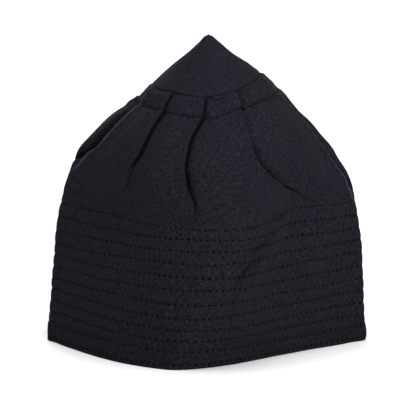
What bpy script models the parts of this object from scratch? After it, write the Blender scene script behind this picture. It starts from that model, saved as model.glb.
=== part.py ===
"""A kufi cap of dark cotton: a quilted band, a pleated crown, a pointed tip and a turned hem.

The cap stands open on its rim, as it does by itself. +Z is up, -Y is the front and +X is the
right-hand side seen from the front. The origin is under the middle of the cap, on the floor.
Angles in the tables are azimuths in degrees: 0 is the front and positive turns to the right.
"""
import math

import bmesh
import bpy
from mathutils import Vector

# Driving sizes, in metres
RIM_HALF_WIDTH = 0.0915      # middle to the side crease, at the rim
RIM_HALF_DEPTH = 0.0935      # middle to the front fold, at the rim
TOP_HALF_WIDTH = 0.0852      # the same two at the top of the quilted band
TOP_HALF_DEPTH = 0.0860
BAND_HEIGHT = 0.0822         # floor to the upper edge of the band
CROWN_RISE = 0.0603          # upper edge of the band to the line where the pleats are stitched down
COLLAR_RADIUS = 0.0419       # radius at that line
COLLAR_RISE = 0.0098         # that line to the hem of the tip
TIP_HEIGHT = 0.0272          # hem of the tip to its point
TIP_RADIUS = 0.0318          # radius at the hem of the tip
TIP_TUCK = 0.0060            # length of crown hidden under the tip
TIP_TILT_SIDE = 0.0037       # how much higher the tip's hem is at the right than in the middle
TIP_TILT_FRONT = 0.0030      # how much lower it is at the front
COLLAR_SHELF_DROP = 0.0023   # the collar swells just below the hem of the tip
COLLAR_SHELF_WIDTH = 0.0031
COLLAR_TILT = 0.30           # share of the tip's tilt that the line of the pleats follows
LEAN = 0.0029                # sideways shift of the tip towards the right

BAND_WALL = 0.0024           # two layers with wadding between them
CROWN_WALL = 0.0014
TIP_WALL = 0.0015
HEM_WALL = 0.0008
HEM_HEIGHT = 0.0112
GAP = 0.0003                 # room between pieces that touch

ROW_COUNT = 11               # rows of quilting, the lowest one through the hem
ROW_PITCH = 0.00727
ROW_MARGIN = 0.0009          # top row to the upper edge of the band
ROW_DEPTH = 0.0004           # how far a row of stitches pulls the cloth in

PLEAT_DEPTH = 0.0030         # step of a pleat where it is deepest
PLEAT_SWELL = 0.0012         # how far the folded edge stands up
PLEAT_REACH = 0.0080         # how far a step is felt along the cloth
PLEAT_NARROWING = 0.35       # the reach shrinks towards this share as the crown gets narrower
PLEAT_EDGE = 0.0007          # width of the step itself
PLEAT_OPENING = 0.35         # a pleat reaches its full depth over this share of the crown's rise

RING_SIDES = 72              # flats round the band and the hem
TIP_SIDES = 40
ACROSS_PLEAT = (0.12, 0.27, 0.43, 0.60, 0.77, 0.91)   # columns between one fold and the next

# Rings of the crown, as stations: 0 to 1 is the crown up to the stitched line, 1 to 2 the
# collar up to the tip's hem, and 2 to 3 the part that is hidden under the tip.
STITCHED_LINE = 1.0
COLLAR_SHELF = 1.6           # where the swollen part of the collar turns in to the tip
UNDER_TIP = 2.0
CROWN_TOP = 3.0
CROWN_RINGS = (0.10, 0.20, 0.31, 0.42, 0.53, 0.64, 0.75, 0.86, 0.96, 1.06, 1.34,
               COLLAR_SHELF, UNDER_TIP, CROWN_TOP)
TIP_RINGS = (0.0, 0.2, 0.4, 0.6, 0.78, 0.93)   # shares of the way from the hem to the point

CLOTH_COLOR = (0.0139, 0.0130, 0.0190, 1.0)
CLOTH_ROUGHNESS = 0.92

# Long folds and hollows of the wall, each running from the rim to the top of the band.
# rim_at and top_at are azimuths, the shares are of the half width and half depth there.
PLAN_FOLDS = (
    # name                rim_at  rim_share  top_at  top_share
    ("left crease",        -90.0,     1.000,  -90.0,     1.000),
    ("left crease front",  -83.0,     0.950,  -84.0,     0.935),
    ("left flank",         -66.0,     0.890,  -76.0,     0.870),
    ("left facet",         -48.0,     0.895,  -63.0,     0.815),
    ("left boundary",      -27.0,     0.962,  -46.0,     0.795),
    ("left of nose",       -18.0,     1.005,  -30.0,     0.865),
    ("nose left",          -13.5,     1.024,  -13.0,     0.955),
    ("nose",               -10.0,     1.018,    1.0,     1.020),
    ("nose right",          -5.0,     0.982,   14.0,     1.015),
    ("right of nose",        2.0,     0.915,   30.0,     0.875),
    ("right boundary",      11.0,     0.835,   48.0,     0.735),
    ("right facet",         25.0,     0.737,   60.0,     0.765),
    ("right facet side",    42.0,     0.690,   72.0,     0.835),
    ("right flank",         64.0,     0.735,   80.0,     0.890),
    ("right crease front",  84.0,     0.910,   85.0,     0.945),
    ("right crease",        90.0,     1.000,   90.0,     1.000),
    ("right crease back",   98.0,     0.900,   98.0,     0.930),
    ("right back flank",   116.0,     0.800,  116.0,     0.840),
    ("right back hollow",  138.0,     0.810,  138.0,     0.850),
    ("right back",         160.0,     0.925,  160.0,     0.935),
    ("back fold",          178.0,     1.000,  178.0,     0.985),
    ("left back",          200.0,     0.935,  200.0,     0.940),
    ("left back hollow",   224.0,     0.830,  224.0,     0.860),
    ("left back flank",    246.0,     0.815,  246.0,     0.845),
    ("left crease back",   263.0,     0.915,  263.0,     0.935),
)

# Side view of the band: 1 is the rim's size and 0 the size at the band's upper edge.
BAND_PROFILE = (
    # height_share  size_share  lean_share
    (0.00,              1.000,       0.00),
    (0.28,              0.900,       0.05),
    (0.46,              0.800,       0.16),
    (0.63,              0.620,       0.22),
    (0.80,              0.410,       0.30),
    (0.90,              0.260,       0.33),
    (1.00,              0.000,       0.36),
)

# Side view of the crown: 1 is the size at the band's upper edge and 0 the collar's radius.
CROWN_PROFILE = (
    # height_share  size_share  lean_share
    (0.00,              1.000,       0.36),
    (0.13,              0.965,       0.40),
    (0.25,              0.900,       0.32),
    (0.38,              0.798,      -0.18),
    (0.50,              0.702,      -0.45),
    (0.61,              0.566,      -0.35),
    (0.73,              0.419,      -0.15),
    (0.84,              0.252,       0.08),
    (0.96,              0.055,       0.75),
    (1.00,              0.000,       0.80),
)

# Side view of the tip, from its point down: shares of its height and of its radius.
TIP_PROFILE = (
    # drop_share  radius_share  lean_share
    (0.000,            0.000,       0.42),
    (0.035,            0.070,       0.42),
    (0.160,            0.178,       0.46),
    (0.420,            0.432,       0.66),
    (0.680,            0.715,       0.98),
    (0.934,            0.965,       1.00),
    (1.130,            1.120,       1.00),
    (1.400,            1.350,       1.00),
)

# Folded edges of the pleats. Each one laps to the right over the next panel.
# The azimuths are where the edge starts above the band, half way up and at the collar.
# start is where it runs out, as a share of the crown's rise. depth is a share of PLEAT_DEPTH.
PLEATS = (
    # name         low_at  mid_at  top_at  start  depth
    ("left",        -90.0,  -81.0,  -68.0,  0.38,  1.60),
    ("left_front",  -46.0,  -41.0,  -36.0,  0.32,  0.90),
    ("front",         1.0,   -9.5,   -7.0,  0.10,  1.00),
    ("right_front",  60.0,   33.0,   27.0,  0.20,  0.95),
    ("right",        90.0,   80.0,   74.0,  0.08,  0.60),
    ("right_rear",  114.0,  109.0,  106.0,  0.20,  0.90),
    ("back_right",  148.0,  144.0,  142.0,  0.16,  1.00),
    ("back",        184.0,  179.0,  178.0,  0.20,  0.95),
    ("back_left",   214.0,  213.0,  212.0,  0.14,  1.00),
    ("left_rear",   241.0,  246.0,  249.0,  0.22,  0.90),
)


def smooth(share):
    """Eases from 0 to 1 as share goes from 0 to 1."""
    share = min(max(share, 0.0), 1.0)
    return share * share * (3.0 - 2.0 * share)


def mix(low, high, share):
    return low + (high - low) * share


def through(places, values, at):
    """Smooth curve through rising places, with its slope at each one taken from both neighbours."""
    last = len(places) - 1
    index = 0
    while index < last - 1 and at > places[index + 1]:
        index += 1

    def slope(i):
        before = max(i - 1, 0)
        after = min(i + 1, last)
        return (values[after] - values[before]) / (places[after] - places[before])

    span = places[index + 1] - places[index]
    t = (at - places[index]) / span
    rise = values[index + 1] - values[index]
    start = slope(index) * span
    end = slope(index + 1) * span
    return values[index] + t * (start + t * (3 * rise - 2 * start - end + t * (start + end - 2 * rise)))


def read_profile(table, at, column):
    return through([row[0] for row in table], [row[column] for row in table], at)


def plan_share(azimuth, height_share):
    """Distance of the wall from the middle, as a share of the plain oval at the same height."""
    places = []
    values = []
    for _, rim_at, rim_share, top_at, top_share in PLAN_FOLDS:
        places.append(mix(rim_at, top_at, height_share))
        values.append(mix(rim_share, top_share, height_share))
    places = [places[-2] - 360.0, places[-1] - 360.0] + places + [places[0] + 360.0, places[1] + 360.0]
    values = [values[-2], values[-1]] + values + [values[0], values[1]]
    turned = (azimuth + 90.0) % 360.0 - 90.0
    return through(places, values, turned)


def oval(azimuth, half_width, half_depth):
    angle = math.radians(azimuth)
    return 1.0 / math.hypot(math.sin(angle) / half_width, math.cos(angle) / half_depth)


def place(azimuth, radius, height, lean):
    angle = math.radians(azimuth)
    return Vector((radius * math.sin(angle) + lean, -radius * math.cos(angle), height))


def band_skin(azimuth, height):
    """Outer face of the band without its rows of stitches."""
    share = height / BAND_HEIGHT
    size = read_profile(BAND_PROFILE, share, 1)
    half_width = mix(TOP_HALF_WIDTH, RIM_HALF_WIDTH, size)
    half_depth = mix(TOP_HALF_DEPTH, RIM_HALF_DEPTH, size)
    radius = oval(azimuth, half_width, half_depth) * plan_share(azimuth, share)
    return place(azimuth, radius, height, LEAN * read_profile(BAND_PROFILE, share, 2))


def tip_tilt(azimuth):
    angle = math.radians(azimuth)
    return TIP_TILT_SIDE * math.sin(angle) - TIP_TILT_FRONT * math.cos(angle)


def tip_hem_height(azimuth):
    return BAND_HEIGHT + CROWN_RISE + COLLAR_RISE + tip_tilt(azimuth)


def tip_radius(height, depth=0.0):
    """Radius of the tip at a height, or of a cone that lies depth under its outer face."""
    point = BAND_HEIGHT + CROWN_RISE + COLLAR_RISE + TIP_HEIGHT
    lowered = depth * math.hypot(TIP_HEIGHT, TIP_RADIUS) / TIP_RADIUS
    drop = max((point - lowered - height) / TIP_HEIGHT, 0.0)
    return TIP_RADIUS * read_profile(TIP_PROFILE, drop, 1)


def tip_lean(height):
    point = BAND_HEIGHT + CROWN_RISE + COLLAR_RISE + TIP_HEIGHT
    return LEAN * read_profile(TIP_PROFILE, max((point - height) / TIP_HEIGHT, 0.0), 2)


def crown_skin(azimuth, station):
    """Outer face of the crown without its pleats."""
    line = BAND_HEIGHT + CROWN_RISE + COLLAR_TILT * tip_tilt(azimuth)
    if station <= STITCHED_LINE:
        size = read_profile(CROWN_PROFILE, station, 1)
        half_width = mix(COLLAR_RADIUS, TOP_HALF_WIDTH, size)
        half_depth = mix(COLLAR_RADIUS, TOP_HALF_DEPTH, size)
        roundness = smooth(station)
        share = mix(plan_share(azimuth, 1.0), 1.0, roundness)
        height = mix(BAND_HEIGHT, line, station)
        lean = LEAN * read_profile(CROWN_PROFILE, station, 2)
        return place(azimuth, oval(azimuth, half_width, half_depth) * share, height, lean)
    hem = tip_hem_height(azimuth)
    tucked = TIP_WALL + GAP
    shelf_height = hem - COLLAR_SHELF_DROP
    shelf_radius = tip_radius(hem) + COLLAR_SHELF_WIDTH
    if station <= COLLAR_SHELF:
        part = (station - STITCHED_LINE) / (COLLAR_SHELF - STITCHED_LINE)
        radius = mix(COLLAR_RADIUS, shelf_radius, part)
        lean = LEAN * mix(CROWN_PROFILE[-1][2], 1.0, part)
        return place(azimuth, radius, mix(line, shelf_height, part), lean)
    if station <= UNDER_TIP:
        part = (station - COLLAR_SHELF) / (UNDER_TIP - COLLAR_SHELF)
        radius = mix(shelf_radius, tip_radius(hem, tucked), part)
        return place(azimuth, radius, mix(shelf_height, hem, part), LEAN)
    height = hem + TIP_TUCK * (station - UNDER_TIP) / (CROWN_TOP - UNDER_TIP)
    return place(azimuth, tip_radius(height, tucked), height, tip_lean(height))


def pleat_azimuth(pleat, station):
    _, low_at, mid_at, top_at, _, _ = pleat
    return through((0.0, 0.5, 1.0), (low_at, mid_at, top_at), min(station, 1.0))


def pleat_strength(pleat, station):
    """How deep a pleat is at a station: it opens above its start and closes under the tip."""
    start = pleat[4]
    opened = smooth((station - start) / PLEAT_OPENING)
    closed = 1.0 - smooth((station - STITCHED_LINE) / (UNDER_TIP - STITCHED_LINE) * 2.0 - 1.0)
    return pleat[5] * opened * closed


def pleat_offset(azimuth, station):
    """How far the cloth stands out or lies in at a place, from all pleats near it."""
    around = crown_skin(azimuth, station)
    radius = math.hypot(around.x, around.y)
    offset = 0.0
    for pleat in PLEATS:
        turn = (azimuth - pleat_azimuth(pleat, station) + 180.0) % 360.0 - 180.0
        along = math.radians(turn) * radius
        reach = PLEAT_REACH * mix(PLEAT_NARROWING, 1.0, radius / TOP_HALF_WIDTH)
        felt = math.exp(-((along / reach) ** 2))
        if along < 0.0:
            offset += PLEAT_SWELL * felt * pleat_strength(pleat, station)
        else:
            offset -= (PLEAT_DEPTH - PLEAT_SWELL) * felt * pleat_strength(pleat, station)
    return offset


def outward(skin, azimuth, station, step):
    """Outward direction of a skin, from two short steps along it."""
    turn = 0.5
    around = skin(azimuth + turn, station) - skin(azimuth - turn, station)
    up = skin(azimuth, station + step) - skin(azimuth, station - step)
    return around.cross(up).normalized()


def crown_point(azimuth, station):
    step = 0.01
    normal = outward(crown_skin, azimuth, min(max(station, step), CROWN_TOP - step), step)
    return crown_skin(azimuth, station) + normal * pleat_offset(azimuth, station)


def crown_columns(station):
    """Azimuths round the crown, with a pair of columns at each folded edge."""
    columns = []
    for index, pleat in enumerate(PLEATS):
        here = pleat_azimuth(pleat, station)
        following = PLEATS[(index + 1) % len(PLEATS)]
        there = pleat_azimuth(following, station)
        if there < here:
            there += 360.0
        radius = crown_skin(here, station).length
        edge = math.degrees(PLEAT_EDGE / 2.0 / radius)
        columns.append(here - edge)
        columns.append(here + edge)
        for share in ACROSS_PLEAT:
            columns.append(mix(here, there, share))
    return columns


def new_object(name, bm, collection):
    bmesh.ops.recalc_face_normals(bm, faces=bm.faces)
    mesh = bpy.data.meshes.new(name)
    bm.to_mesh(mesh)
    bm.free()
    mesh.shade_smooth()
    mesh.set_sharp_from_angle(angle=math.radians(40.0))
    mesh.materials.append(cloth_material(name + "_cloth"))
    obj = bpy.data.objects.new(name, mesh)
    collection.objects.link(obj)
    return obj


def cloth_material(name):
    material = bpy.data.materials.new(name)
    material.use_nodes = True
    shader = material.node_tree.nodes["Principled BSDF"]
    shader.inputs["Base Color"].default_value = CLOTH_COLOR
    shader.inputs["Roughness"].default_value = CLOTH_ROUGHNESS
    shader.inputs["Metallic"].default_value = 0.0
    return material


def loft(bm, rings, joined=False):
    """Skins a list of rings of points. joined also skins from the last ring to the first."""
    loops = [[bm.verts.new(point) for point in ring] for ring in rings]
    pairs = list(zip(loops, loops[1:]))
    if joined:
        pairs.append((loops[-1], loops[0]))
    for low, high in pairs:
        count = len(low)
        for i in range(count):
            after = (i + 1) % count
            bm.faces.new((low[i], low[after], high[after], high[i]))
    return loops


def close_wall(bm, loops, thickness):
    """Gives an open skin its inner face and its two edges. The lower edge is cut level."""
    bm.normal_update()
    rings = []
    for loop in loops:
        ring = []
        for vert in loop:
            inward = vert.normal.copy()
            if loop is loops[0]:
                inward.z = 0.0
                inward.normalize()
            ring.append(vert.co - inward * thickness)
        rings.append(ring)
    inner = loft(bm, rings)
    for outer_loop, inner_loop in ((loops[0], inner[0]), (loops[-1], inner[-1])):
        for i in range(len(outer_loop)):
            after = (i + 1) % len(outer_loop)
            bm.faces.new((outer_loop[i], outer_loop[after], inner_loop[after], inner_loop[i]))


def ring_azimuths():
    return [360.0 * i / RING_SIDES - 90.0 for i in range(RING_SIDES)]


def row_heights():
    """Heights of the rows of stitches, from the top row down."""
    return [BAND_HEIGHT - ROW_MARGIN - ROW_PITCH * i for i in range(ROW_COUNT)]


def band_wall_point(azimuth, height, inset):
    """A point of the band's wall, inset from its outer face and square to it in plan."""
    step = BAND_HEIGHT / 100.0
    normal = outward(band_skin, azimuth, min(max(height, step), BAND_HEIGHT - step), step)
    flat = Vector((normal.x, normal.y, 0.0)).normalized()
    return band_skin(azimuth, height) - flat * inset


def make_band(collection):
    """Quilted wall. Its lower edge stands in the hem, and each row of stitches is a shallow channel."""
    foot = HEM_WALL + GAP
    rows = sorted(row_heights())
    stations = {foot: 0.0, HEM_HEIGHT: 0.0, BAND_HEIGHT: 0.0}
    for low, high in zip(rows, rows[1:]):
        stations[(low + high) / 2.0] = 0.0
    for height in rows:
        stations[height] = ROW_DEPTH
    stations = sorted(stations.items())
    inner = [(mix(BAND_HEIGHT, HEM_HEIGHT, i / 4.0), BAND_WALL) for i in range(5)]
    inner.append((foot, BAND_WALL))
    rings = []
    for height, inset in stations + inner:
        rings.append([band_wall_point(a, height, inset) for a in ring_azimuths()])
    bm = bmesh.new()
    loft(bm, rings, joined=True)
    return new_object("band", bm, collection)


def make_hem(collection):
    """Turned edge: a channel of cloth that holds the band's lower edge and stands on the floor."""
    outer = -(HEM_WALL + GAP)
    inner = BAND_WALL + HEM_WALL + GAP
    bevel = HEM_WALL * 0.4
    section = (
        # inset from the band's outer face, height
        (outer, bevel),
        (outer + bevel, 0.0),
        (inner - bevel, 0.0),
        (inner, bevel),
        (inner, HEM_HEIGHT),
        (BAND_WALL + GAP, HEM_HEIGHT),
        (BAND_WALL + GAP, HEM_WALL),
        (-GAP, HEM_WALL),
        (-GAP, HEM_HEIGHT),
        (outer, HEM_HEIGHT - bevel),
    )
    rings = []
    for inset, height in section:
        rings.append([band_wall_point(a, height, inset) for a in ring_azimuths()])
    bm = bmesh.new()
    loft(bm, rings, joined=True)
    return new_object("hem", bm, collection)


def make_crown(collection):
    """Pleated cloth from the band to the collar, with its top tucked under the tip."""
    stations = (GAP / CROWN_RISE,) + CROWN_RINGS
    rings = [[crown_point(a, s) for a in crown_columns(s)] for s in stations]
    bm = bmesh.new()
    close_wall(bm, loft(bm, rings), CROWN_WALL)
    return new_object("crown", bm, collection)


def make_tip(collection):
    """Pointed cap over the tops of the pleats, a hollow cone open below."""
    point_height = BAND_HEIGHT + CROWN_RISE + COLLAR_RISE + TIP_HEIGHT
    azimuths = [360.0 * i / TIP_SIDES for i in range(TIP_SIDES)]
    inner_drop = TIP_WALL * math.hypot(TIP_HEIGHT, TIP_RADIUS) / TIP_RADIUS
    bm = bmesh.new()
    sides = []
    for depth, top in ((0.0, point_height), (TIP_WALL, point_height - inner_drop)):
        rings = []
        for share in TIP_RINGS:
            ring = []
            for azimuth in azimuths:
                height = mix(tip_hem_height(azimuth), top, share)
                ring.append(place(azimuth, tip_radius(height, depth), height, tip_lean(height)))
            rings.append(ring)
        loops = loft(bm, rings)
        peak = bm.verts.new(place(0.0, 0.0, top, tip_lean(top)))
        last = loops[-1]
        for i, vert in enumerate(last):
            bm.faces.new((vert, last[(i + 1) % len(last)], peak))
        sides.append(loops[0])
    outer, inner = sides
    for i in range(len(outer)):
        after = (i + 1) % len(outer)
        bm.faces.new((outer[i], outer[after], inner[after], inner[i]))
    return new_object("tip", bm, collection)


def centre_of_plan():
    """Middle of the hem's outer edge, so that the origin can lie under it."""
    outline = [band_wall_point(a, 0.0, -(HEM_WALL + GAP)) for a in ring_azimuths()]
    xs = [point.x for point in outline]
    ys = [point.y for point in outline]
    return Vector(((min(xs) + max(xs)) / 2.0, (min(ys) + max(ys)) / 2.0, 0.0))


def main():
    for obj in list(bpy.data.objects):
        bpy.data.objects.remove(obj, do_unlink=True)
    collection = bpy.data.collections.new("kufi_cap")
    bpy.context.scene.collection.children.link(collection)
    frame = bpy.data.objects.new("cap_frame", None)
    collection.objects.link(frame)
    for make in (make_hem, make_band, make_crown, make_tip):
        piece = make(collection)
        piece.parent = frame
    frame.location = -centre_of_plan()
    bpy.context.view_layer.update()


main()
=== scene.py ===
import math

import bmesh
import bpy
import numpy as np
from mathutils import Matrix, Vector


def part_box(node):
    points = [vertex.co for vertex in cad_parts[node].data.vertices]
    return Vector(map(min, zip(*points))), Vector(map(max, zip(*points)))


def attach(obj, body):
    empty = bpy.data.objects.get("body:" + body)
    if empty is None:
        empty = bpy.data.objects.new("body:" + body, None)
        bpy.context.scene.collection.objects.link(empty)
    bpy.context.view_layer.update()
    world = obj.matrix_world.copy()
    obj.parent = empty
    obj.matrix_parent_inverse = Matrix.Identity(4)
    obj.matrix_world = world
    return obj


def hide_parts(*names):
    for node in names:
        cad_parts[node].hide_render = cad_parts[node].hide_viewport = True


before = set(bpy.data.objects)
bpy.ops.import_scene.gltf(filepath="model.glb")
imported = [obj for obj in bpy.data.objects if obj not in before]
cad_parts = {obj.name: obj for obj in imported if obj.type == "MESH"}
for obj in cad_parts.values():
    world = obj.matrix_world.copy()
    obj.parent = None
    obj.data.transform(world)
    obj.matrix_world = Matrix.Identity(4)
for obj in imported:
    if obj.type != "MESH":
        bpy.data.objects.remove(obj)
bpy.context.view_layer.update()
print("cap: frame loaded")

# The cap stands open on its rim. Lengths are in metres and azimuths in degrees:
# 0 is the front (-Y), positive turns to the right (+X).
capShape = {
    "rimHalfWidth": 0.0915,      # middle to the side crease, at the rim
    "rimHalfDepth": 0.0935,      # middle to the front fold, at the rim
    "topHalfWidth": 0.0852,      # the same two at the top of the quilted band
    "topHalfDepth": 0.0860,
    "bandHeight": 0.0822,
    "crownRise": 0.0603,         # band to the line where the pleats are stitched down
    "collarRadius": 0.0419,
    "tipPoint": 0.1795,          # height of the very point
    "tipHeight": 0.0272,
    "tipRadius": 0.0318,
    "shelfDrop": 0.0023,         # the collar swells just below the hem of the tip
    "shelfWidth": 0.0031,
    "tuck": 0.0060,              # length of crown under the tip
    "tuckDepth": 0.0018,
    "lean": 0.0029,
}

# Long folds of the wall, from the rim to the top of the band.
wallFolds = np.array([
    # azimuth at rim, share of the oval, azimuth at top, share of the oval
    (-90.0, 1.000, -90.0, 1.000),    # left crease
    (-83.0, 0.950, -84.0, 0.935),
    (-66.0, 0.890, -76.0, 0.870),
    (-48.0, 0.895, -63.0, 0.815),    # left facet
    (-27.0, 0.962, -46.0, 0.795),
    (-18.0, 1.005, -30.0, 0.865),
    (-13.5, 1.024, -13.0, 0.955),    # front fold
    (-10.0, 1.018, 1.0, 1.020),
    (-5.0, 0.982, 14.0, 1.015),
    (2.0, 0.915, 30.0, 0.875),
    (11.0, 0.835, 48.0, 0.735),      # right hollow
    (25.0, 0.737, 60.0, 0.765),
    (42.0, 0.690, 72.0, 0.835),
    (64.0, 0.735, 80.0, 0.890),
    (84.0, 0.910, 85.0, 0.945),
    (90.0, 1.000, 90.0, 1.000),      # right crease
    (98.0, 0.900, 98.0, 0.930),
    (116.0, 0.800, 116.0, 0.840),
    (138.0, 0.810, 138.0, 0.850),
    (160.0, 0.925, 160.0, 0.935),
    (178.0, 1.000, 178.0, 0.985),    # back fold
    (200.0, 0.935, 200.0, 0.940),
    (224.0, 0.830, 224.0, 0.860),
    (246.0, 0.815, 246.0, 0.845),
    (263.0, 0.915, 263.0, 0.935),
])

bandProfile = np.array([
    # share of the height, size from 1 at the rim to 0 at the top, share of the lean
    (0.00, 1.000, 0.00),
    (0.28, 0.900, 0.05),
    (0.46, 0.800, 0.16),
    (0.63, 0.620, 0.22),
    (0.80, 0.410, 0.30),
    (0.90, 0.260, 0.33),
    (1.00, 0.000, 0.36),
])

crownProfile = np.array([
    # share of the rise, size from 1 at the band to 0 at the collar, share of the lean
    (0.00, 1.000, 0.36),
    (0.13, 0.965, 0.40),
    (0.25, 0.900, 0.32),
    (0.38, 0.798, -0.18),
    (0.50, 0.702, -0.45),
    (0.61, 0.566, -0.35),
    (0.73, 0.419, -0.15),
    (0.84, 0.252, 0.08),
    (0.96, 0.055, 0.75),
    (1.00, 0.000, 0.80),
])

tipProfile = np.array([
    # drop from the point, share of the radius, share of the lean
    (0.000, 0.000, 0.42),
    (0.035, 0.070, 0.42),
    (0.160, 0.178, 0.46),
    (0.420, 0.432, 0.66),
    (0.680, 0.715, 0.98),
    (0.934, 0.965, 1.00),
    (1.130, 1.120, 1.00),
    (1.400, 1.350, 1.00),
])

tipHem = np.array([
    # azimuth, height of the hem of the tip
    (-90.0, 0.1506),
    (-49.0, 0.1508),
    (-23.0, 0.1499),
    (-7.0, 0.1497),
    (4.0, 0.1503),
    (14.0, 0.1513),
    (28.0, 0.1528),
    (48.0, 0.1551),
    (90.0, 0.1568),
    (135.0, 0.1562),
    (180.0, 0.1545),
    (225.0, 0.1512),
])


def smooth(share):
    share = np.clip(share, 0.0, 1.0)
    return share * share * (3.0 - 2.0 * share)


def mix(low, high, share):
    return low + (high - low) * share


def bell(distance, width):
    return np.exp(-((distance / width) ** 2))


def through(places, values, at):  # smooth curve through rising places
    at = np.asarray(at, float)
    shape = at.shape + (np.shape(places)[-1],)
    places = np.broadcast_to(places, shape)
    values = np.broadcast_to(values, shape)
    last = shape[-1] - 1
    index = np.clip((places <= at[..., None]).sum(-1) - 1, 0, last - 1)

    def take(table, i):
        return np.take_along_axis(table, np.clip(i, 0, last)[..., None], -1)[..., 0]

    def slope(i):
        before = np.maximum(i - 1, 0)
        after = np.minimum(i + 1, last)
        return (take(values, after) - take(values, before)) / (take(places, after) - take(places, before))

    span = take(places, index + 1) - take(places, index)
    t = (at - take(places, index)) / span
    rise = take(values, index + 1) - take(values, index)
    start = slope(index) * span
    end = slope(index + 1) * span
    return take(values, index) + t * (start + t * (3 * rise - 2 * start - end + t * (start + end - 2 * rise)))


def readTable(table, at, column):
    return through(table[:, 0], table[:, column], at)


def turned(azimuth):  # azimuth brought into -90 to 270
    return (np.asarray(azimuth, float) + 90.0) % 360.0 - 90.0


def roundTable(table, azimuth, column=1):  # a table that closes on itself after a full turn
    places = np.concatenate([table[-2:, 0] - 360.0, table[:, 0], table[:2, 0] + 360.0])
    values = np.concatenate([table[-2:, column], table[:, column], table[:2, column]])
    return through(places, values, turned(azimuth))


def wallShare(azimuth, share):
    share = np.asarray(share, float)[..., None]
    places = mix(wallFolds[:, 0], wallFolds[:, 2], share)
    values = mix(wallFolds[:, 1], wallFolds[:, 3], share)
    places = np.concatenate([places[..., -2:] - 360.0, places, places[..., :2] + 360.0], -1)
    values = np.concatenate([values[..., -2:], values, values[..., :2]], -1)
    return through(places, values, turned(azimuth))


def oval(azimuth, halfWidth, halfDepth):
    angle = np.radians(azimuth)
    return 1.0 / np.hypot(np.sin(angle) / halfWidth, np.cos(angle) / halfDepth)


def place(azimuth, radius, height, lean):
    angle = np.radians(azimuth)
    parts = np.broadcast_arrays(radius * np.sin(angle) + lean, -radius * np.cos(angle), height)
    return np.stack(parts, -1)


def bandSkin(azimuth, level):
    azimuth, level = np.broadcast_arrays(np.asarray(azimuth, float), np.asarray(level, float))
    share = level / capShape["bandHeight"]
    size = readTable(bandProfile, share, 1)
    halfWidth = mix(capShape["topHalfWidth"], capShape["rimHalfWidth"], size)
    halfDepth = mix(capShape["topHalfDepth"], capShape["rimHalfDepth"], size)
    radius = oval(azimuth, halfWidth, halfDepth) * wallShare(azimuth, share)
    return place(azimuth, radius, level, capShape["lean"] * readTable(bandProfile, share, 2))


def tipRadiusAt(height, depth=0.0):
    slant = math.hypot(capShape["tipHeight"], capShape["tipRadius"]) / capShape["tipRadius"]
    drop = np.maximum((capShape["tipPoint"] - depth * slant - height) / capShape["tipHeight"], 0.0)
    return capShape["tipRadius"] * readTable(tipProfile, drop, 1)


def tipLeanAt(height):
    drop = np.maximum((capShape["tipPoint"] - height) / capShape["tipHeight"], 0.0)
    return capShape["lean"] * readTable(tipProfile, drop, 2)


# Stations of the crown: 0 to 1 runs from the band to the stitched line, 1 to 1.6 is the collar,
# 1.6 to 2 its shelf below the hem of the tip, and 2 to 3 lies hidden under the tip.
def crownSkin(azimuth, station):
    azimuth, station = np.broadcast_arrays(np.asarray(azimuth, float), np.asarray(station, float))
    hem = roundTable(tipHem, azimuth)
    line = capShape["bandHeight"] + capShape["crownRise"] + 0.30 * (
        0.0037 * np.sin(np.radians(azimuth)) - 0.0030 * np.cos(np.radians(azimuth)))
    shelf = hem - capShape["shelfDrop"]
    low = np.minimum(station, 1.0)
    size = readTable(crownProfile, low, 1)
    halfWidth = mix(capShape["collarRadius"], capShape["topHalfWidth"], size)
    halfDepth = mix(capShape["collarRadius"], capShape["topHalfDepth"], size)
    share = mix(wallShare(azimuth, np.ones_like(station)), 1.0, smooth(low))
    radius = oval(azimuth, halfWidth, halfDepth) * share
    height = mix(capShape["bandHeight"], line, low)
    lean = capShape["lean"] * readTable(crownProfile, low, 2)

    shelfRadius = tipRadiusAt(hem) + capShape["shelfWidth"]
    part = np.clip((station - 1.0) / 0.6, 0.0, 1.0)
    radius = np.where(station > 1.0, mix(capShape["collarRadius"], shelfRadius, part), radius)
    height = np.where(station > 1.0, mix(line, shelf, part), height)
    lean = np.where(station > 1.0, capShape["lean"] * mix(0.8, 1.0, part), lean)

    part = smooth((station - 1.6) / 0.4)
    radius = np.where(station > 1.6, mix(shelfRadius, tipRadiusAt(hem, capShape["tuckDepth"]), part), radius)
    height = np.where(station > 1.6, mix(shelf, hem, part), height)

    under = hem + capShape["tuck"] * (station - 2.0)
    radius = np.where(station > 2.0, tipRadiusAt(under, capShape["tuckDepth"]), radius)
    height = np.where(station > 2.0, under, height)
    lean = np.where(station > 2.0, tipLeanAt(under), lean)
    return place(azimuth, radius, height, lean)


def wallSkin(azimuth, level):  # level is the height on the band, and runs on into the crown
    azimuth, level = np.broadcast_arrays(np.asarray(azimuth, float), np.asarray(level, float))
    station = np.maximum((level - capShape["bandHeight"]) / capShape["crownRise"], 0.0)
    onBand = bandSkin(azimuth, np.minimum(level, capShape["bandHeight"]))
    return np.where((level > capShape["bandHeight"])[..., None], crownSkin(azimuth, station), onBand)


def outward(skin, azimuth, at, step, turn=0.6):
    around = skin(azimuth + turn, at) - skin(azimuth - turn, at)
    up = skin(azimuth, at + step) - skin(azimuth, at - step)
    normal = np.cross(around, up)
    return normal / np.linalg.norm(normal, axis=-1, keepdims=True)


def flatOutward(azimuth, level):
    normal = outward(wallSkin, azimuth, np.maximum(level, 0.001), 0.0008)
    normal = normal * np.array((1.0, 1.0, 0.0))
    return normal / np.linalg.norm(normal, axis=-1, keepdims=True)


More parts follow.
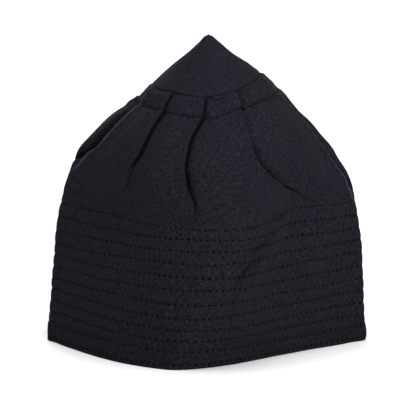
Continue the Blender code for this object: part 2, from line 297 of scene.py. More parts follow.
# The CAD model stands with its rim's box centred on the origin, so the cloth moves with it.
fullTurn = np.linspace(-90.0, 270.0, 721)
rimLine = wallSkin(fullTurn, 0.0) + 0.0011 * flatOutward(fullTurn, np.zeros_like(fullTurn))
hemLow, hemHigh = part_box("hem")
capShift = np.array([(hemLow.x + hemHigh.x - rimLine[:, 0].min() - rimLine[:, 0].max()) / 2.0,
                     (hemLow.y + hemHigh.y - rimLine[:, 1].min() - rimLine[:, 1].max()) / 2.0, 0.0])

waveDice = np.random.default_rng(11)
waveSets = []
for waveLength, waveHeight in ((0.046, 0.00034), (0.023, 0.00016), (0.012, 0.00007)):
    for _ in range(7):
        direction = waveDice.normal(size=3)
        direction /= np.linalg.norm(direction)
        waveSets.append((direction * 2.0 * math.pi / (waveLength * waveDice.uniform(0.8, 1.25)),
                         waveDice.uniform(0.0, 2.0 * math.pi), waveHeight / 2.2))


def softWaves(points):  # the slight unevenness that worn cotton has all over
    total = np.zeros(points.shape[:-1])
    for direction, phase, height in waveSets:
        total += height * np.sin(points @ direction + phase)
    return total


def lineOffset(points, skin, creases):  # dents and ridges along short lines on the cloth
    total = np.zeros(points.shape[:-1])
    for crease in creases:
        path = np.array(crease["path"], float)
        steps = np.linspace(0.0, 1.0, 40)
        knots = np.linspace(0.0, 1.0, len(path))
        line = skin(through(knots, path[:, 0], steps), through(knots, path[:, 1], steps))
        nearest = np.full(points.shape[:-1], 1e9)
        fade = np.zeros(points.shape[:-1])
        for step, spot in zip(steps, line):
            distance = np.linalg.norm(points - spot, axis=-1)
            closer = distance < nearest
            nearest = np.where(closer, distance, nearest)
            fade = np.where(closer, smooth(step / crease["fade"]) * smooth((1.0 - step) / crease["fade"]), fade)
        total += crease["height"] * bell(nearest, crease["width"]) * fade
    return total


# Points are rings by columns, and the last column meets the first. The maps are UV maps: cloth
# runs in metres along the threads, stitch counts the stitches and the rows, and the last map holds tones of painted
# highlight and painted shade.
def makeCloth(name, points, maps):
    rings, columns = points.shape[:2]
    bm = bmesh.new()
    bmesh.ops.create_grid(bm, x_segments=columns - 1, y_segments=rings - 1, size=0.5)
    where = {}
    for vert in bm.verts:
        where[vert] = (round((vert.co.y + 0.5) * (rings - 1)), round((vert.co.x + 0.5) * (columns - 1)))
    for mapName, values in maps.items():
        layer = bm.loops.layers.uv.new(mapName)
        for face in bm.faces:
            for loop in face.loops:
                loop[layer].uv = values[where[loop.vert]]
    moved = points + capShift
    for vert in bm.verts:
        vert.co = moved[where[vert]]
    bmesh.ops.remove_doubles(bm, verts=bm.verts, dist=1e-6)
    bmesh.ops.recalc_face_normals(bm, faces=bm.faces)
    mesh = bpy.data.meshes.new(name)
    bm.to_mesh(mesh)
    bm.free()
    mesh.shade_smooth()
    piece = bpy.data.objects.new(name, mesh)
    bpy.context.scene.collection.objects.link(piece)
    return piece


# Quilting: rows of stitches, counted from the top of the band down.
quilting = {
    "rowGap": 0.0071,            # usual distance between two rows
    "pitch": 0.0040,             # one stitch and the gap after it
    "dip": 0.00013,              # how far a row pulls the cloth in
    "dipWidth": 0.00095,
    "hump": 0.0024,              # the upper rows rise over the dent on the right
    "pucker": 0.00042,           # dimple round each stitch
    "puckerWidth": 0.00095,
    "wander": 0.00022,           # rows are guided by hand
}

rowHeights = np.array([
    # left, front, right, back, each in millimetres above the floor
    (80.9, 80.9, 82.5, 81.6),
    (72.9, 74.5, 74.3, 74.0),
    (65.0, 68.1, 66.6, 66.7),
    (57.6, 60.8, 58.9, 59.4),
    (51.2, 52.9, 52.1, 52.1),
    (43.9, 45.8, 43.5, 44.8),
    (37.4, 37.8, 36.6, 37.6),
    (30.9, 29.8, 29.9, 30.3),
    (24.3, 22.4, 22.6, 23.1),
    (17.2, 16.3, 15.4, 16.2),
    (10.3, 10.3, 8.9, 9.6),
])
rowPlaces = np.array([-85.0, -1.0, 90.0, 180.0])
rowDice = np.random.default_rng(5)
rowPhases = rowDice.uniform(0.0, 2.0 * math.pi, (11, 4))
rowShifts = rowDice.uniform(0.0, 1.0, 12)

# Arc length round the middle of the band, which paces the stitches and the weave.
paceLine = wallSkin(fullTurn, 0.045)
paceSteps = np.linalg.norm(np.diff(paceLine, axis=0), axis=1)
paceLength = np.concatenate([[0.0], np.cumsum(paceSteps)])
bandLength = float(paceLength[-1])
stitchCount = round(bandLength / quilting["pitch"])
stitchPace = bandLength / stitchCount


def paceAt(azimuth):  # azimuth from -90 to 270 as a length along the band
    return np.interp(azimuth, fullTurn, paceLength)


def azimuthAt(pace):
    return np.interp(np.asarray(pace) % bandLength, paceLength, fullTurn)


def rowLevels(azimuth):  # heights of all rows and of the band's foot, in a new last axis
    azimuth = np.asarray(azimuth, float)
    angle = np.radians(azimuth)
    levels = []
    for row in range(11):
        table = np.stack([rowPlaces, rowHeights[row] * 0.001], 1)
        level = roundTable(table, azimuth)
        for count, phase in zip((3, 5, 9, 14), rowPhases[row]):
            level = level + quilting["wander"] * np.sin(angle * count + phase) * 2.0 / math.sqrt(count)
        hump = bell(turned(azimuth) - 54.0, 20.0) * max(1.0 - row / 6.0, 0.0)
        levels.append(level + quilting["hump"] * hump)
    levels.append(np.full(azimuth.shape, 0.0011))
    return np.stack(levels, -1)


def levelAt(row, azimuth):  # row may lie between two rows
    levels = rowLevels(azimuth)
    index = np.clip(np.floor(row).astype(int), 0, 10)
    part = row - index
    low = np.take_along_axis(levels, index[..., None], -1)[..., 0]
    high = np.take_along_axis(levels, index[..., None] + 1, -1)[..., 0]
    return mix(low, high, part)


def rowDip(row, azimuth):  # how deep the quilting pulls the cloth in at a place
    nearest = np.clip(np.round(row), 0, 10)
    away = np.abs(row - nearest) * quilting["rowGap"]
    shift = rowShifts[nearest.astype(int)]
    phase = paceAt(azimuth) / stitchPace + shift
    holes = (0.5 + 0.5 * np.cos(2.0 * math.pi * phase)) ** 2
    uneven = 0.75 + 0.5 * np.sin(phase * 1.7 + nearest * 2.3) ** 2
    channel = bell(away, quilting["dipWidth"]) * quilting["dip"] * (0.72 + 0.28 * uneven)
    return channel + bell(away, quilting["puckerWidth"]) * quilting["pucker"] * holes * uneven


# Each crease follows a path of azimuth and height, in metres, and fades out towards its two ends.
wallCreases = [
    {"path": [(51, 0.084), (40, 0.070), (30, 0.056), (20, 0.040), (12, 0.028)],
     "width": 0.0056, "height": -0.0008, "fade": 0.25},
    {"path": [(43, 0.0850), (35, 0.0825), (27, 0.0800)], "width": 0.0020, "height": -0.0011, "fade": 0.4},
    {"path": [(27, 0.0715), (20, 0.0685), (14, 0.0655)], "width": 0.0019, "height": -0.0012, "fade": 0.4},
    {"path": [(22, 0.0635), (16, 0.0580), (12, 0.0520), (9, 0.0450)], "width": 0.0020, "height": -0.0012, "fade": 0.4},
    {"path": [(-44, 0.060), (-36, 0.050), (-30, 0.038)], "width": 0.0040, "height": -0.0003, "fade": 0.5},
    {"path": [(-16, 0.072), (-17, 0.055), (-15, 0.036), (-14, 0.018)], "width": 0.0045, "height": 0.0006,
     "fade": 0.3},
]

# Colour only: painted shade, darker in the dent and along its crumples. The height of a shade is
# the share by which it changes the colour.
bandShades = [
    {"path": [(48, 0.0850), (34, 0.0770), (22, 0.0660), (14, 0.0530), (8, 0.0370)], "width": 0.0055, "height": -0.16,
     "fade": 0.3},
    {"path": [(44, 0.0835), (36, 0.0822), (27, 0.0805)], "width": 0.0014, "height": -0.40, "fade": 0.4},
    {"path": [(27, 0.0715), (20, 0.0685), (14, 0.0655)], "width": 0.0014, "height": -0.45, "fade": 0.4},
    {"path": [(22, 0.0635), (16, 0.0580), (12, 0.0520), (9, 0.0450)], "width": 0.0015, "height": -0.42, "fade": 0.4},
]

bandCloth = {
    "wall": 0.0024,
    "puff": 0.00014,             # swell of the wadding between two rows
    "outerSteps": (0.0, 0.07, 0.15, 0.25, 0.40, 0.60, 0.75, 0.85, 0.93),
    "innerSteps": (0.0, 0.16, 0.50, 0.84),
}


def bandFace(row, azimuth, inner=0.0):
    level = levelAt(row, azimuth)
    skin = wallSkin(azimuth, level)
    normal = flatOutward(azimuth, level)
    away = np.abs(row - np.round(row))
    swell = bandCloth["puff"] * smooth(away * 2.4) * (row < 10.0)
    dip = rowDip(row, azimuth) * (row < 10.4)
    offset = softWaves(skin) + lineOffset(skin, wallSkin, wallCreases)
    if inner:
        offset = offset - bandCloth["wall"] + dip * 0.8 - swell
    else:
        offset = offset + swell - dip
    return skin + normal * offset[..., None]


def paintedLightMap(tones):  # painted highlight and painted shade as tones: half of each tone, so that a map value of 0.5 leaves the colour as it is
    return np.stack([tones * 0.5, 0.0 * tones], -1)


def makeBand():
    rows = [row + step for row in range(10) for step in bandCloth["outerSteps"]]
    rows += [10.0, 10.2, 10.5, 10.8, 11.0]
    back = [11.0, 10.6, 10.2]
    back += [row + step for row in range(9, -1, -1) for step in reversed(bandCloth["innerSteps"])]
    azimuths = azimuthAt(np.arange(stitchCount * 4) * bandLength / (stitchCount * 4))
    azimuths = np.concatenate([azimuths, [270.0]])
    paces = np.arange(stitchCount * 4 + 1) * bandLength / (stitchCount * 4)
    outerRows = np.array(rows)[:, None] + 0.0 * azimuths
    innerRows = np.array(back)[:, None] + 0.0 * azimuths
    outer = bandFace(outerRows, azimuths + 0.0 * outerRows)
    inner = bandFace(innerRows, azimuths + 0.0 * innerRows, inner=1.0)
    points = np.concatenate([outer, inner, outer[:1]])
    points[:, -1] = points[:, 0]
    allRows = np.concatenate([outerRows, innerRows, outerRows[:1]])
    levels = np.concatenate([levelAt(outerRows, azimuths + 0.0 * outerRows),
                             0.1 - levelAt(innerRows, azimuths + 0.0 * innerRows),
                             levelAt(outerRows[:1], azimuths + 0.0 * outerRows[:1])])
    shift = rowShifts[np.clip(np.round(allRows), 0, 10).astype(int)]
    cloth = np.stack([paces + 0.0 * allRows, levels], -1)
    stitch = np.stack([paces / stitchPace + shift, allRows], -1)
    # painted shade in the dent and along its crumples
    tones = 1.0 + lineOffset(outer, wallSkin, bandShades)
    tones = np.concatenate([tones, np.ones(inner.shape[:2]), tones[:1]])
    return makeCloth("bandCloth", points, {"cloth": cloth, "stitch": stitch, "paintedLight": paintedLightMap(tones)})


bandPiece = makeBand()
print("cap: quilted band")

hemCloth = {
    "out": 0.0007,               # how far the turned edge stands out from the band
    "wall": 0.0007,
    "above": 0.0012,             # the fold's edge above the lowest row
    "edgeRow": 0.0026,           # height of the stitches along the very edge
    "dip": 0.00014,
    "pucker": 0.00030,
    "dipWidth": 0.0009,
    "rowSplit": 0.006,           # above it lies the lowest row, below it the edge row
}


def hemPoint(azimuth, inset, height, slide):  # slide moves the upper edges with the lowest row
    lowest = rowLevels(azimuth)[..., 10]
    level = height + slide * (lowest + hemCloth["above"])
    skin = wallSkin(azimuth, np.maximum(level, 0.0))
    skin[..., 2] = level
    return skin, flatOutward(azimuth, np.maximum(level, 0.0)) * inset[..., None], level


def makeHem():
    out, wall = hemCloth["out"], hemCloth["wall"]
    inner = bandCloth["wall"]
    section = np.array([
        # outward from the band's face, height above the floor, share of the row's height
        (out - 0.0005, 0.0, 1.0),
        (out - 0.0001, -0.0002, 1.0),
        (out, -0.0007, 1.0),
        (out, -0.0012, 1.0),
        (out, -0.0018, 1.0),
        (out, 0.0, 0.62),
        (out, 0.0, 0.48),
        (out, 0.0034, 0.0),
        (out, 0.0026, 0.0),
        (out, 0.0019, 0.0),
        (out, 0.0011, 0.0),
        (out - 0.0002, 0.0004, 0.0),
        (out - 0.0007, 0.0, 0.0),
        (-inner - wall + 0.0006, 0.0, 0.0),
        (-inner - wall + 0.0001, 0.0004, 0.0),
        (-inner - wall, 0.0012, 0.0),
        (-inner - wall, 0.0, 0.5),
        (-inner - wall, -0.0004, 1.0),
        (-inner - 0.0004, 0.0, 1.0),
        (-inner - 0.0001, -0.0004, 1.0),
        (-inner - 0.0001, 0.0008, 0.0),
        (-0.0000, 0.0008, 0.0),
        (0.0000, -0.0004, 1.0),
        (out - 0.0005, 0.0, 1.0),
    ])
    count = stitchCount * 4
    paces = np.arange(count + 1) * bandLength / count
    azimuths = azimuthAt(paces)
    azimuths[-1] = 270.0
    grid = azimuths + 0.0 * section[:, :1]
    skin, offset, level = hemPoint(grid, section[:, :1] + 0.0 * grid, section[:, 1:2], section[:, 2:3])
    dips = np.zeros_like(grid)
    lowest = rowLevels(grid)[..., 10]
    outerSide = (section[:, :1] > out - 0.0006) & (np.arange(len(section))[:, None] < 13)
    phase = paces / stitchPace
    for height, shift in ((lowest, rowShifts[10]), (hemCloth["edgeRow"] + 0.0 * lowest, rowShifts[11])):
        holes = 0.5 + 0.5 * np.cos(2.0 * math.pi * (phase + shift))
        dips += bell(level - height, hemCloth["dipWidth"]) * (hemCloth["dip"] + hemCloth["pucker"] * holes ** 2)
    normal = flatOutward(grid, np.maximum(level, 0.0))
    wave = softWaves(skin) * smooth(level / 0.003) + lineOffset(skin, wallSkin, wallCreases)
    points = skin + offset + normal * (wave - dips * outerSide)[..., None]
    points[:, -1] = points[:, 0]
    flatSection = section[:, :2] + section[:, 2:] * [[0.0, 0.0112]]
    across = np.cumsum(np.concatenate([[0.0], np.linalg.norm(np.diff(flatSection, axis=0), axis=1)]))
    cloth = np.stack([paces + 0.0 * grid, across[:, None] + 0.0 * grid], -1)
    upper = level > hemCloth["rowSplit"]
    row = np.where(upper, 10.0 + (lowest - level) / quilting["rowGap"],
                   12.0 + (hemCloth["edgeRow"] - level) / quilting["rowGap"])
    shift = np.where(upper, rowShifts[10], rowShifts[11])
    stitch = np.stack([phase + shift, np.where(outerSide, row, 0.5)], -1)
    return makeCloth("hemCloth", points, {"cloth": cloth, "stitch": stitch, "paintedLight": paintedLightMap(np.ones_like(grid))})


hemPiece = makeHem()
print("cap: turned hem")

# Pleats of the crown. The path gives azimuths at the stations below, and lap is 1 where the left
# cloth lies over the right, -1 the other way round. A pleat opens above its start, wide is its
# share of the usual width below the collar, and foot deepens its lower end. The last four are
# colour: the painted highlight on the crest, the painted shade under the fold, how many millimetres
# that painted shade runs out over, and the share of all this that is left higher up.
pleatStations = np.array([0.0, 0.2, 0.4, 0.6, 0.8, 1.0, 1.5, 3.0])
pleats = [
    {"name": "left", "path": (-100, -97, -87.5, -73.5, -68.5, -72.5, -78, -76), "lap": -1, "start": 0.34, "depth": 1.3,
     "wide": 1.2, "foot": 0.0, "crestHighlight": 3.8, "dark": 0.93, "shade": 24.0, "topShade": 1.0},
    {"name": "left front", "path": (-58, -52, -43.5, -37, -37.3, -40.5, -40, -39), "lap": 1, "start": 0.30,
     "depth": 1.0, "wide": 0.8, "foot": 0.0, "crestHighlight": 0.12, "dark": 0.80, "shade": 4.5, "topShade": 0.8},
    {"name": "front", "path": (-9, -8.2, -8.3, -9.6, -8.8, -6.2, -7, -7.5), "lap": 1, "start": 0.15,
     "depth": 1.05, "wide": 0.85, "foot": 0.2, "crestHighlight": 0.08, "dark": 0.80, "shade": 6.5, "topShade": 0.75},
    {"name": "right front", "path": (62, 47, 32.5, 26.3, 25.6, 24.6, 25, 25), "lap": 1, "start": 0.10,
     "depth": 0.95, "wide": 0.8, "foot": 0.3, "crestHighlight": 0.0, "dark": 0.88, "shade": 7.0, "topShade": 0.5},
    {"name": "right", "path": (90, 87, 85, 83, 82.5, 80, 79, 77), "lap": 1, "start": 0.02,
     "depth": 0.85, "wide": 0.5, "foot": 0.0, "crestHighlight": 2.5, "dark": 0.55, "shade": 11.0, "topShade": 1.0},
    {"name": "right rear", "path": (116, 113, 111, 109, 107, 106, 106, 106), "lap": 1, "start": 0.20,
     "depth": 0.8, "wide": 0.9, "foot": 0.2, "crestHighlight": 0.2, "dark": 0.6, "shade": 4.5, "topShade": 0.8},
    {"name": "back right", "path": (148, 147, 145, 144, 143, 142, 142, 142), "lap": 1, "start": 0.16,
     "depth": 0.95, "wide": 1.0, "foot": 0.0, "crestHighlight": 0.15, "dark": 0.7, "shade": 4.5, "topShade": 0.8},
    {"name": "back", "path": (184, 182, 180, 179, 178, 178, 178, 178), "lap": 1, "start": 0.20,
     "depth": 0.95, "wide": 0.9, "foot": 0.2, "crestHighlight": 0.15, "dark": 0.7, "shade": 4.5, "topShade": 0.8},
    {"name": "back left", "path": (215, 214, 213, 213, 212, 212, 212, 212), "lap": 1, "start": 0.14,
     "depth": 1.0, "wide": 1.0, "foot": 0.0, "crestHighlight": 0.15, "dark": 0.7, "shade": 4.5, "topShade": 0.8},
    {"name": "left rear", "path": (238, 239, 240, 241, 242, 243, 243, 243), "lap": 1, "start": 0.24,
     "depth": 0.6, "wide": 0.9, "foot": 0.2, "crestHighlight": 0.2, "dark": 0.6, "shade": 4.5, "topShade": 0.8},
]

# The folded cloth across a pleat, from the cloth on top to the cloth below.
foldSection = np.array([
    # along the cap, height above the plain crown, in millimetres
    (-9.5, 0.00),
    (-7.0, 0.15),
    (-4.6, 0.50),
    (-2.6, 0.95),
    (-1.2, 1.25),
    (-0.4, 1.32),
    (0.15, 1.15),
    (0.38, 0.80),
    (0.25, 0.35),
    (-0.2, 0.00),
    (-1.1, -0.20),
    (-2.4, -0.30),
    (-3.6, -0.45),
    (-4.0, -0.70),
    (-3.5, -1.00),
    (-2.4, -1.45),
    (-1.0, -2.40),
    (0.0, -3.60),
    (0.8, -3.70),
    (1.5, -2.30),
    (2.4, -1.45),
    (4.2, -0.85),
    (6.2, -0.45),
    (8.2, -0.14),
    (10.0, 0.00),
])

crownCloth = {
    "wall": 0.0005,
    "foldColumns": 34,
    "panelColumns": 13,
    "opening": 0.30,             # a pleat reaches its full depth over this share of the rise
    "bulge": 0.0011,             # panels swell a little between two pleats
    "stitchDip": 0.00045,
    "stitchWidth": 0.0010,
    "swell": 0.00022,            # the cloth swells again beside the stitched line
    "seamShade": 0.32,           # painted shade along the stitched line
    "seamWidth": 0.0007,
    "panelLength": 0.068,        # cloth from station 0 to 1, and from 1 to 2
    "collarLength": 0.013,
}

stitchedLine = np.array([
    # azimuth, station of the stitched line of the collar
    (-87.0, 0.985),
    (-50.0, 0.995),
    (-16.0, 0.962),
    (-1.0, 0.952),
    (11.0, 0.972),
    (27.0, 1.050),
    (48.0, 1.150),
    (94.0, 1.180),
    (140.0, 1.120),
    (200.0, 1.040),
    (250.0, 0.990),
])

# Paths of azimuth and station.
crownCreases = [
    {"path": [(-31.5, 0.50), (-35, 0.42), (-39.4, 0.34), (-50, 0.225)], "width": 0.0017, "height": -0.0006,
     "fade": 0.4},
    {"path": [(-81, 0.98), (-78, 0.87), (-76.5, 0.78), (-75.5, 0.69), (-76, 0.60), (-80, 0.52)],
     "width": 0.0030, "height": -0.0022, "fade": 0.25},
    {"path": [(-98, 1.03), (-97, 0.97), (-95, 0.90)], "width": 0.0040, "height": 0.0014, "fade": 0.3},
    {"path": [(28, 0.82), (29, 0.62), (34.5, 0.44), (42, 0.31), (50, 0.21)], "width": 0.0024, "height": -0.0018,
     "fade": 0.3},
    {"path": [(91, 0.90), (91, 0.60), (92, 0.35), (92, 0.15)], "width": 0.0050, "height": 0.0008, "fade": 0.25},
    {"path": [(33, 1.12), (36, 1.02), (38, 0.96)], "width": 0.0010, "height": -0.0006, "fade": 0.4},
    {"path": [(-2.5, 1.62), (1.5, 1.50), (5, 1.52)], "width": 0.0007, "height": -0.0007, "fade": 0.4},
    {"path": [(-1.0, 1.52), (3.5, 1.40), (9, 1.46), (14, 1.56)], "width": 0.0007, "height": -0.0007, "fade": 0.4},
    {"path": [(-4, 0.955), (3, 0.950), (10, 0.965)], "width": 0.0009, "height": -0.0005, "fade": 0.4},
    {"path": [(3, 0.55), (8, 0.40), (10, 0.22), (9, 0.08)], "width": 0.0070, "height": 0.0010, "fade": 0.4},
    {"path": [(-19, 0.86), (-22, 0.64), (-26, 0.42), (-31, 0.20)], "width": 0.0060, "height": 0.0008, "fade": 0.4},
    {"path": [(-75, 1.34), (-72, 1.46), (-66, 1.49), (-61, 1.41), (-61, 1.28), (-66, 1.21), (-72, 1.23), (-75, 1.31)],
     "width": 0.0008, "height": 0.0007, "fade": 0.1},
]


def sampleSection(count):
    spots = np.linspace(0.0, len(foldSection) - 1.0, count)
    knots = np.arange(len(foldSection), dtype=float)
    along = through(knots, foldSection[:, 0], spots) * 0.001
    lift = through(knots, foldSection[:, 1], spots) * 0.001
    return along, lift, spots


def foldPaintedLight(pleat, along, spots):  # painted highlight on the crest of a fold, painted shade under the fold and on the cloth beside it
    crestHighlight = pleat["crestHighlight"] * bell(along * 1000.0 + 0.3, 1.0) * (spots < 7.4)
    opened = 1.0 - smooth(np.maximum(along, 0.0) * 1000.0 / pleat["shade"])
    return crestHighlight - pleat["dark"] * opened * (spots >= 17.0), -pleat["dark"] * ((spots >= 7.4) & (spots < 17.0))


def crownGrid(stations):  # azimuth and offset of every column on every ring
    rings = stations[:, None]
    count = crownCloth["foldColumns"]
    along, lift, spots = sampleSection(count)
    flat = np.linspace(along[0], along[-1], count)
    folds = []
    for pleat in pleats:
        middle = through(pleatStations, np.array(pleat["path"], float), rings)
        spot = crownSkin(middle, rings) - np.array((capShape["lean"] * 0.6, 0.0, 0.0))
        radius = np.hypot(spot[..., 0], spot[..., 1])
        opened = smooth((rings - pleat["start"]) / crownCloth["opening"])
        closed = 1.0 - smooth((rings - 1.62) / 0.38)
        strength = opened * closed * (1.0 + pleat["foot"] * bell(rings - pleat["start"] - 0.22, 0.16))
        narrow = mix(0.55, 1.0, radius / capShape["topHalfWidth"])
        narrow = narrow * mix(1.0, pleat["wide"], 1.0 - smooth((rings - 0.88) / 0.2))
        pressed = mix(1.0, 0.58, smooth((rings - 0.90) / 0.25))
        offset = lift * strength * pleat["depth"] * pressed
        across = mix(flat, along, np.minimum(strength * 1.15, 1.0)) * narrow
        # how much of the painted highlight and painted shade a pleat has at each ring
        paintedReach = smooth((rings - pleat["start"] + 0.10) / 0.20) * closed
        paintedReach = paintedReach * mix(1.0, pleat["topShade"], smooth((rings - 0.45) / 0.25))
        face, under = foldPaintedLight(pleat, along, spots)
        eased = 1.0 - 2.0 * (1.0 - pleat["topShade"]) * smooth((rings - 0.65) / 0.35)
        tone = 1.0 + face * paintedReach + under * (opened * closed) ** 2 * eased
        if pleat["lap"] < 0:
            across, offset, tone = -across[:, ::-1], offset[:, ::-1], tone[:, ::-1]
        folds.append((middle + np.degrees(across / radius), offset, tone))
    azimuths, offsets, tones, centres = [], [], [], []
    shares = np.linspace(0.0, 1.0, crownCloth["panelColumns"] + 2)[1:-1]
    for index, (azimuth, offset, tone) in enumerate(folds):
        following = folds[(index + 1) % len(folds)][0][:, :1]
        nextTone = folds[(index + 1) % len(folds)][2][:, :1]
        following = following + 360.0 * (index == len(folds) - 1)
        azimuths += [azimuth, mix(azimuth[:, -1:], following, shares)]
        swell = crownCloth["bulge"] * np.sin(math.pi * shares) * smooth(rings / 0.5)
        offsets += [offset, swell * (1.0 - smooth((rings - 0.9) / 0.2))]
        tones += [tone, 1.0 + (tone[:, -1:] - 1.0) * (1.0 - smooth(shares * 2.8))
                  + (nextTone - 1.0) * smooth(shares * 2.8 - 1.8)]
        centres.append(index * (count + len(shares)) + count + len(shares) // 2)
    azimuths.append(azimuths[0][:, :1] + 360.0)
    offsets.append(offsets[0][:, :1])
    tones.append(tones[0][:, :1])
    return np.concatenate(azimuths, 1), np.concatenate(offsets, 1), np.concatenate(tones, 1), centres


def climb(station):  # length of cloth above station 1
    return (station - 1.0) * np.where(station < 1.0, crownCloth["panelLength"], crownCloth["collarLength"])


def seamDistance(azimuth, station):
    return climb(station) - climb(roundTable(stitchedLine, azimuth))


def stitchDip(azimuth, station):
    away = seamDistance(azimuth, station)
    dip = crownCloth["stitchDip"] * bell(away, crownCloth["stitchWidth"])
    return dip - crownCloth["swell"] * bell(away - 0.0022, 0.0014)


def crownFace(azimuth, station, offset):
    base = levelAt(np.zeros_like(azimuth), turned(azimuth))
    baseStation = (base - capShape["bandHeight"]) / capShape["crownRise"]
    spread = np.where(station < 1.0, mix(baseStation, 1.0, station), station)
    level = capShape["bandHeight"] + spread * capShape["crownRise"]
    low = spread < 0.97
    skin = np.where(low[..., None], wallSkin(azimuth, level), crownSkin(azimuth, station))
    normalLow = outward(wallSkin, azimuth, level, 0.0008)
    normalHigh = outward(crownSkin, azimuth, np.maximum(station, 0.02), 0.012)
    normal = np.where(low[..., None], normalLow, normalHigh)
    flatten = smooth(station / 0.05)[..., None]
    flat = flatOutward(azimuth, np.minimum(level, capShape["bandHeight"] + capShape["crownRise"] * 0.3))
    normal = mix(flat, normal, flatten)
    normal /= np.linalg.norm(normal, axis=-1, keepdims=True)
    calm = 1.0 - smooth((station - 1.6) / 0.4)
    total = offset + softWaves(skin) * calm
    total = total + lineOffset(skin, crownSkin, crownCreases) + lineOffset(skin, wallSkin, wallCreases[:2])
    total = total - stitchDip(azimuth, station)
    seam = bell(station * crownCloth["panelLength"], quilting["dipWidth"])
    total = total - rowDip(np.zeros_like(azimuth), turned(azimuth)) * seam
    return skin + normal * total[..., None]


# Colour only, painted shade as for the band: the deep lower part of the right front pleat, the top
# of the dent and the small gathers of the collar.
crownShades = [
    {"path": [(27, 0.85), (28.5, 0.68), (30.5, 0.54), (35.5, 0.41), (41.5, 0.305), (50, 0.21)], "width": 0.0017,
     "height": -0.62, "fade": 0.35},
    {"path": [(26, 0.010), (34, 0.030), (43, 0.050)], "width": 0.0015, "height": -0.50, "fade": 0.3},
    {"path": [(0, 1.66), (5, 1.58), (11, 1.64), (15, 1.72)], "width": 0.0007, "height": -0.50, "fade": 0.2},
    {"path": [(3, 1.36), (9, 1.40), (14, 1.48)], "width": 0.0006, "height": -0.35, "fade": 0.2},
    {"path": [(-32, 0.475), (-39, 0.34), (-50, 0.22)], "width": 0.0012, "height": -0.30, "fade": 0.4},
    {"path": [(-81, 1.0), (-78.5, 1.3), (-76, 1.7), (-74, 2.1)], "width": 0.0007, "height": -0.55, "fade": 0.15},
]


def makeCrown():
    stations = np.concatenate([
        [0.0, 0.006, 0.012, 0.02, 0.03], np.linspace(0.045, 0.95, 60), [0.962, 0.973, 0.982, 0.989, 0.995, 1.002],
        np.linspace(1.03, 1.30, 9), np.linspace(1.36, 1.6, 5), [1.68, 1.76, 1.84, 1.92, 2.0, 2.4, 3.0]])
    azimuths, offsets, tones, centres = crownGrid(stations)
    points = crownFace(azimuths, stations[:, None] + 0.0 * azimuths, offsets)
    points[:, -1] = points[:, 0]
    # The weave runs straight up the middle of each panel, and its jumps hide in the folds.
    steps = np.linalg.norm(np.diff(points, axis=1), axis=-1)
    length = np.concatenate([np.zeros((len(points), 1)), np.cumsum(steps, 1)], 1)
    around = np.zeros_like(length)
    period = crownCloth["foldColumns"] + crownCloth["panelColumns"]
    for column in range(length.shape[1]):
        centre = centres[min(max((column - crownCloth["foldColumns"] // 2) // period, 0), len(centres) - 1)]
        around[:, column] = length[0, centre] + length[:, column] - length[:, centre]
    rise = np.concatenate([[0.0], np.cumsum(np.linalg.norm(np.diff(points[:, centres[2]], axis=0), axis=-1))])
    cloth = np.stack([around, rise[:, None] + 0.09 + 0.0 * around], -1)
    skin = crownSkin(azimuths, stations[:, None] + 0.0 * azimuths)
    seam = bell(seamDistance(azimuths, stations[:, None]), crownCloth["seamWidth"])
    # painted shade along the crown's shade lines and along the stitched line
    tones = tones + lineOffset(skin, crownSkin, crownShades) - crownCloth["seamShade"] * seam
    piece = makeCloth("crownCloth", points, {"cloth": cloth, "paintedLight": paintedLightMap(np.maximum(tones, 0.05))})
    wall = piece.modifiers.new("wall", "SOLIDIFY")
    wall.thickness = crownCloth["wall"]
    wall.offset = -1.0
    return piece


crownPiece = makeCrown()
print("cap: pleated crown")

tipCloth = {
    "wall": 0.0010,
    "columns": 150,
    "hemFlare": 0.00018,         # the hem stands out a little
}

# Paths of azimuth and height above the floor.
tipCreases = [
    {"path": [(12, 0.1722), (30, 0.1700), (52, 0.1692), (74, 0.1696)], "width": 0.0012, "height": 0.00042, "fade": 0.3},
    {"path": [(14, 0.1708), (34, 0.1686), (56, 0.1679), (76, 0.1684)], "width": 0.0018, "height": -0.00022,
     "fade": 0.3},
    {"path": [(3, 0.176), (2, 0.168), (1, 0.160), (0, 0.153)], "width": 0.0030, "height": 0.0005, "fade": 0.3},
    {"path": [(-55, 0.170), (-52, 0.163), (-50, 0.156)], "width": 0.0040, "height": -0.0004, "fade": 0.4},
    {"path": [(40, 0.163), (46, 0.158), (55, 0.155)], "width": 0.0030, "height": -0.0004, "fade": 0.4},
]

# Colour only: a painted highlight, the pale line along a small crease.
tipHighlights = [
    {"path": [(10, 0.1728), (20, 0.1706), (34, 0.1694), (54, 0.1690), (70, 0.1694)], "width": 0.0006, "height": 0.45,
     "fade": 0.3},
]


def tipSkin(azimuth, height):
    azimuth, height = np.broadcast_arrays(np.asarray(azimuth, float), np.asarray(height, float))
    return place(azimuth, tipRadiusAt(height), height, tipLeanAt(height))


